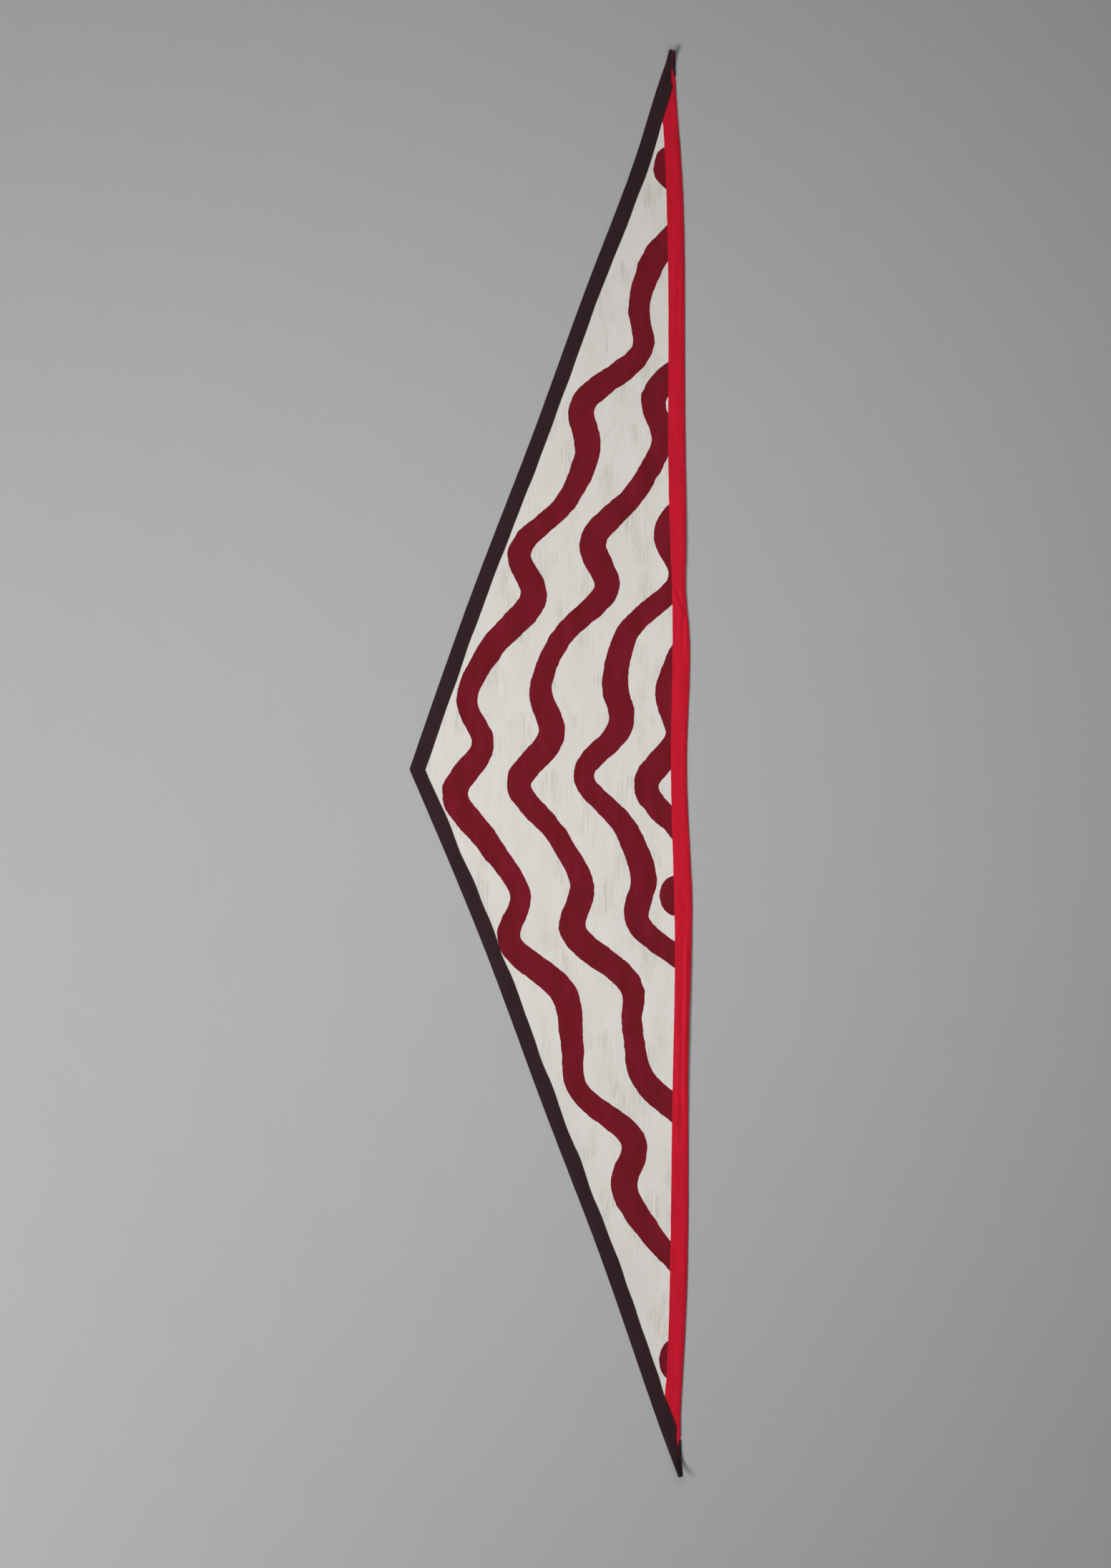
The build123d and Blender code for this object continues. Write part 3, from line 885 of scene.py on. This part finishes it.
def red_front(x, y, s, width):
    """Middle of the red front leaf: crowned, with a rolled outer edge, long folds and creases."""
    in_tip = in_tips(y, RED_TIPS)
    crown = RED_CROWN * np.sin(math.pi * np.clip(s / width, 0, 1)) * (1 - in_tip)
    rolled = ROLL * (1 - np.clip(s / ROLL_REACH, 0, 1)) ** 1.1
    rolled = rolled + LIP * (1 - np.clip(s / LIP_REACH, 0, 1)) ** 2
    z = RED_FRONT - RED_TIP_DROP * in_tip + crown
    z = z - rolled * (1 - 0.4 * in_tip) - STITCH_DENT * bump_at(s, width - STITCH_INSET, 1.0)
    room = step_up(s, 0.4, 3.0) * step_up(width - s, 0.0, 2.0)
    z = z + room * sum(height * wander(x, y, *rest) for height, *rest in RED_FOLDS)
    for join_y, slope, deep in JOINS:
        z = z - deep * bump_at(past_join(x, y, join_y, slope), 0, JOIN_DIP)
    for start, end, spread, height in RED_CREASES:
        z = z + room * height * crease(x, y, start, end, spread)
    lowest = (GROUND_IN_HEM + GROUND_THICK + FILM + CLOTH / 2 + 0.04) * step_up(s, 0, 3.0)
    return lowest + SOFT_LIMIT * np.logaddexp(0, (z - lowest) / SOFT_LIMIT)


def red_back(y):
    return BACK + RED_BACK_RISE * in_tips(y, RED_TIPS)


def tucked_right(y):
    """The red side's outer edge, drawn in where a border's end wraps round it."""
    return right_edge(y) - WRAP_TUCK * in_tips(y, WRAP_TIPS)


def join_slant(y):
    """How much a cross-section of the red binding slants, so that the lengths meet on slanting joins."""
    return float(sum(slope * step_up(np.abs(y - join_y), SLANT_REACH, 0) for join_y, slope, _ in JOINS))


red_binding = Strip(wobble(tucked_right, 24.0), wobble(red_inner, 25.0),
                    lambda y: red_inner(y) - BACK_WIDER, red_front, red_back, RED_FOLD, join_slant, JOIN_X)


def tongue(edge, first, last):
    """The red cloth's narrow end, which shows past a border's edge up to the tip."""
    under, shown, thick, bevel = 0.15, 0.55, 0.30, 0.1
    low = WRAP_HEIGHT + CLOTH / 2
    high = low + thick
    rows = rows_between(first, last, WRAP_ROW)
    points = []
    for y in rows:
        x = float(edge(y))
        ring = [(x - under, low), (x + shown, low), (x + shown, high - bevel), (x - under, high)]
        points += [settle(px, y, z) for px, z in ring]
    return points, tube_faces(len(rows), 4)


def make_red():
    made = []
    for name, first, last, tip in (
            ("red_binding_upper", 975.0, UPPER_JOIN_Y + JOIN_GAP, (inner_upper, 974.0, TOP_TIP - 1.5)),
            ("red_binding_middle", UPPER_JOIN_Y - JOIN_GAP, LOWER_JOIN_Y + JOIN_GAP, None),
            ("red_binding_lower", LOWER_JOIN_Y - JOIN_GAP, -951.0, (inner_lower, -950.0, BOTTOM_TIP + 3.0))):
        parts = [red_binding.build(rows_between(first, last, RED_ROW))]
        if tip:
            parts.append(tongue(*tip))
        piece = make_object(name + "_visual", *joined(*parts), red_cotton, True)
        made.append(finish_piece(piece, "red_cotton", name))
    return made


# ---------------- stitches
STITCH, STITCH_GAP = 2.5, 0.5
THREAD_RADIUS, FINE_RADIUS, TACK_RADIUS = 0.21, 0.15, 0.27
BOW = 0.12  # how far the middle of a stitch stands up
RING = 6  # points round a thread
STITCH_RINGS = (0.0, 0.12, 0.5, 0.88, 1.0)  # where along a stitch; it narrows at its two ends
END_SHARE, FLAT_SHARE = 0.45, 0.8  # thickness of its ends, and its height to its width


def one_stitch(start, end, bow, radius):
    """Points and faces of one stitch: a thread that dips into the cloth at both ends."""
    start, end = np.array(start, float), np.array(end, float)
    along = (end - start) / np.linalg.norm(end - start)
    across = np.cross((0, 0, 1.0), along)
    across /= np.linalg.norm(across)
    up = np.cross(along, across)
    points = []
    for share in STITCH_RINGS:
        swell = radius * (END_SHARE if share in (0.0, 1.0) else 1.0)
        centre = start + (end - start) * share + up * bow * (1 - (2 * share - 1) ** 4)
        for k in range(RING):
            a = 2 * math.pi * k / RING
            points.append(centre + swell * (math.cos(a) * across + FLAT_SHARE * math.sin(a) * up))
    return points, tube_faces(len(STITCH_RINGS), RING)


class Stitches:
    """A row of stitches that becomes one piece."""

    def __init__(self):
        self.parts = []

    def add(self, start, end, bow, radius):
        self.parts.append(one_stitch(start, end, bow, radius))

    def run(self, line, height, bow=BOW, shift=0.0, radius=THREAD_RADIUS):
        """Stitches end to end along plan points, at the height that height(x, y) gives."""
        line = np.array(line, float)
        travelled = np.concatenate([[0], np.cumsum(np.linalg.norm(np.diff(line, axis=0), axis=1))])
        place = shift
        while place + STITCH < travelled[-1]:
            ends = []
            for distance in (place, place + STITCH):
                x, y = (float(np.interp(distance, travelled, line[:, i])) for i in (0, 1))
                ends.append(settle(np.array(x), np.array(y), np.array(height(x, y))))
            self.add(*ends, bow, radius)
            place += STITCH + STITCH_GAP

    def make(self, node, slot):
        piece = make_object(node + "_visual", *joined(*self.parts), threads[slot], True)
        return finish_piece(piece, slot, node)


BACK_STITCH_HEIGHT = 0.08
BACK_RADIUS = 0.13
PULLED_IN = 0.02  # how far a stitch's middle lies below the cloth's top
SEAM_INSET, SEAM_SHIFT, SEAM_SUNK = 4.0, 0.5, 0.13  # of a join's seam: from the edges, along Y, down
MITRE_FROM, MITRE_TO, MITRE_STEP = 5.0, 17.0, 2.6  # the mitre's stitches, from the apex
MITRE_HALF, MITRE_LEAN, MITRE_SUNK = 1.1, 1.2, 0.04
TACK_PLACES = (-0.5, 0.0, 0.5)  # a tack's strands, and how far each reaches
TACK_HALF, TACK_BAR_HALF = 0.75, 0.9


def topstitch(inner, first, last, inset, surface):
    """A row of lockstitches on the front of a strip, and the same row from the back."""
    row = Stitches()
    ys = rows_between(first, last, 3.0)
    line = np.stack([inner(ys) + inset, ys], axis=1)
    row.run(line, surface)
    row.run(line, lambda x, y: BACK_STITCH_HEIGHT, bow=0.0, shift=STITCH / 2, radius=BACK_RADIUS)
    return row


def border_surface(outer):
    def surface(x, y):
        s = x - float(outer(y))
        return float(border_front(x, y, s, s + STITCH_INSET)) + CLOTH / 2 - PULLED_IN
    return surface


def red_surface(x, y):
    s = float(right_edge(y)) - x
    return float(red_front(x, y, s, s + STITCH_INSET)) + CLOTH / 2 - PULLED_IN


def join_seams():
    """The stitches along the red binding's two joins."""
    seams = Stitches()
    for join_y, slope, _ in JOINS:
        low, high = float(red_inner(join_y)) + SEAM_INSET, float(right_edge(join_y)) - SEAM_INSET
        line = [(x, join_y + slope * (x - JOIN_X) + SEAM_SHIFT) for x in (low, high)]
        seams.run(line, lambda x, y: red_surface(x, y) - SEAM_SUNK)
    return seams


def apex_mitre():
    """Slanting stitches across the seam where the two borders meet."""
    mitre = Stitches()
    for x in np.arange(APEX[0] + MITRE_FROM, APEX[0] + MITRE_TO, MITRE_STEP):
        z = float(border_front(x, APEX_Y, x - APEX[0], BROWN_ACROSS)) + CLOTH / 2 - MITRE_SUNK
        mitre.add((x, APEX_Y + MITRE_HALF, z), (x + MITRE_LEAN, APEX_Y - MITRE_HALF, z), 0.10, FINE_RADIUS)
    return mitre


def tip_tack(x, y, front):
    """A small tack through a tip's layers: strands side by side, and one across them."""
    def place(dx, dy, z):
        return settle(np.array(x + dx), np.array(y + dy), np.array(z))

    tack = Stitches()
    height = front + CLOTH / 2
    for dx in TACK_PLACES:
        tack.add(place(dx, -TACK_HALF, height), place(dx, TACK_HALF, height), 0.22, TACK_RADIUS)
    height += 0.2
    tack.add(place(-TACK_BAR_HALF, 0, height), place(TACK_BAR_HALF, 0, height), 0.20, TACK_RADIUS)
    return tack


def make_stitches():
    upper = topstitch(inner_upper, APEX_Y + 4, 944, -STITCH_INSET, border_surface(left_upper))
    lower = topstitch(inner_lower, APEX_Y - 4, -922, -STITCH_INSET, border_surface(left_lower))
    red = topstitch(red_inner, 880, -860, STITCH_INSET, red_surface)
    return [
        upper.make("upper_border_stitching", "brown_thread"),
        lower.make("lower_border_stitching", "brown_thread"),
        red.make("red_binding_stitching", "red_thread"),
        join_seams().make("red_join_stitching", "red_thread"),
        apex_mitre().make("apex_mitre_stitching", "brown_thread"),
        tip_tack(168.8, 992.5, BROWN_FRONT).make("top_tip_tack", "pale_thread"),
        tip_tack(180.5, -986, BROWN_FRONT + 0.9).make("bottom_tip_tack", "brown_thread")]


# ---------------- build
ground, prints, ground_area = make_ground()
borders = make_borders()
reds = make_red()
stitches = make_stitches()


# ---------------- floor, light and camera
KEY_PLACE, KEY_SIZE, KEY_POWER = (-2.75, -1.2, 2.8), 1.35, 112.0
POOL_PLACE, POOL_SIZE, POOL_POWER = (0, 0.15, 1.4), 1.5, 8.2
ROOM_LIGHT = 0.10
VIEW_CENTRE = (0.0065, -0.029)  # what the middle of the picture shows
VIEW_HEIGHT = 2.192  # how much of the surface the picture takes in
CAMERA_HEIGHT = 14.0


def make_floor():
    """A plain painted surface, faintly stippled."""
    floor = floor_square("stage_floor", 6.0)
    shader = Shader("stage_paint", 0.9, 0.2, 0.0)
    patches = shader.noise(60.0, 90.0, 3.0, 0.6)
    stipple = shader.noise(3.0, 3.0, 2.0, 0.6)
    tone = shader.mix(patches, (0.474, 0.474, 0.474), (0.492, 0.492, 0.492))
    tone = shader.mix(shader.mapped(stipple, 0.35, 0.65, 0.0, 0.25), tone, (0.462, 0.462, 0.462))
    shader.join(tone, shader.surface.inputs["Base Color"])
    shader.join(shader.bump(stipple, 0.25, 0.35), shader.surface.inputs["Normal"])
    floor.data.materials.append(shader.material)


def area_light(name, place, aim, size, power):
    """A square soft light. The camera doesn't see it."""
    data = bpy.data.lights.new(name, "AREA")
    data.shape, data.size, data.energy = "SQUARE", size, power
    lamp = bpy.data.objects.new(name, data)
    lamp.location = place
    lamp.rotation_euler = (Vector(aim) - Vector(place)).to_track_quat("-Z", "Y").to_euler()
    lamp.visible_camera = False
    bpy.context.scene.collection.objects.link(lamp)


def make_light():
    """A soft key light from the left and a little from the foot, and a wide pool overhead."""
    area_light("key", KEY_PLACE, (0, 0, 0), KEY_SIZE, KEY_POWER)
    area_light("pool", POOL_PLACE, (*POOL_PLACE[:2], 0), POOL_SIZE, POOL_POWER)
    world = bpy.data.worlds.new("room")
    world.use_nodes = True
    background = world.node_tree.nodes["Background"]
    background.inputs["Color"].default_value = (1, 1, 1, 1)
    background.inputs["Strength"].default_value = ROOM_LIGHT
    bpy.context.scene.world = world
    bpy.context.scene.view_settings.view_transform = "Standard"


def make_camera():
    """Straight down on the laid cloth."""
    data = bpy.data.cameras.new("camera")
    data.lens = data.sensor_width * CAMERA_HEIGHT / VIEW_HEIGHT
    camera = bpy.data.objects.new("camera", data)
    camera.location = (*VIEW_CENTRE, CAMERA_HEIGHT)
    bpy.context.scene.collection.objects.link(camera)
    bpy.context.scene.camera = camera


make_floor()
make_light()
make_camera()
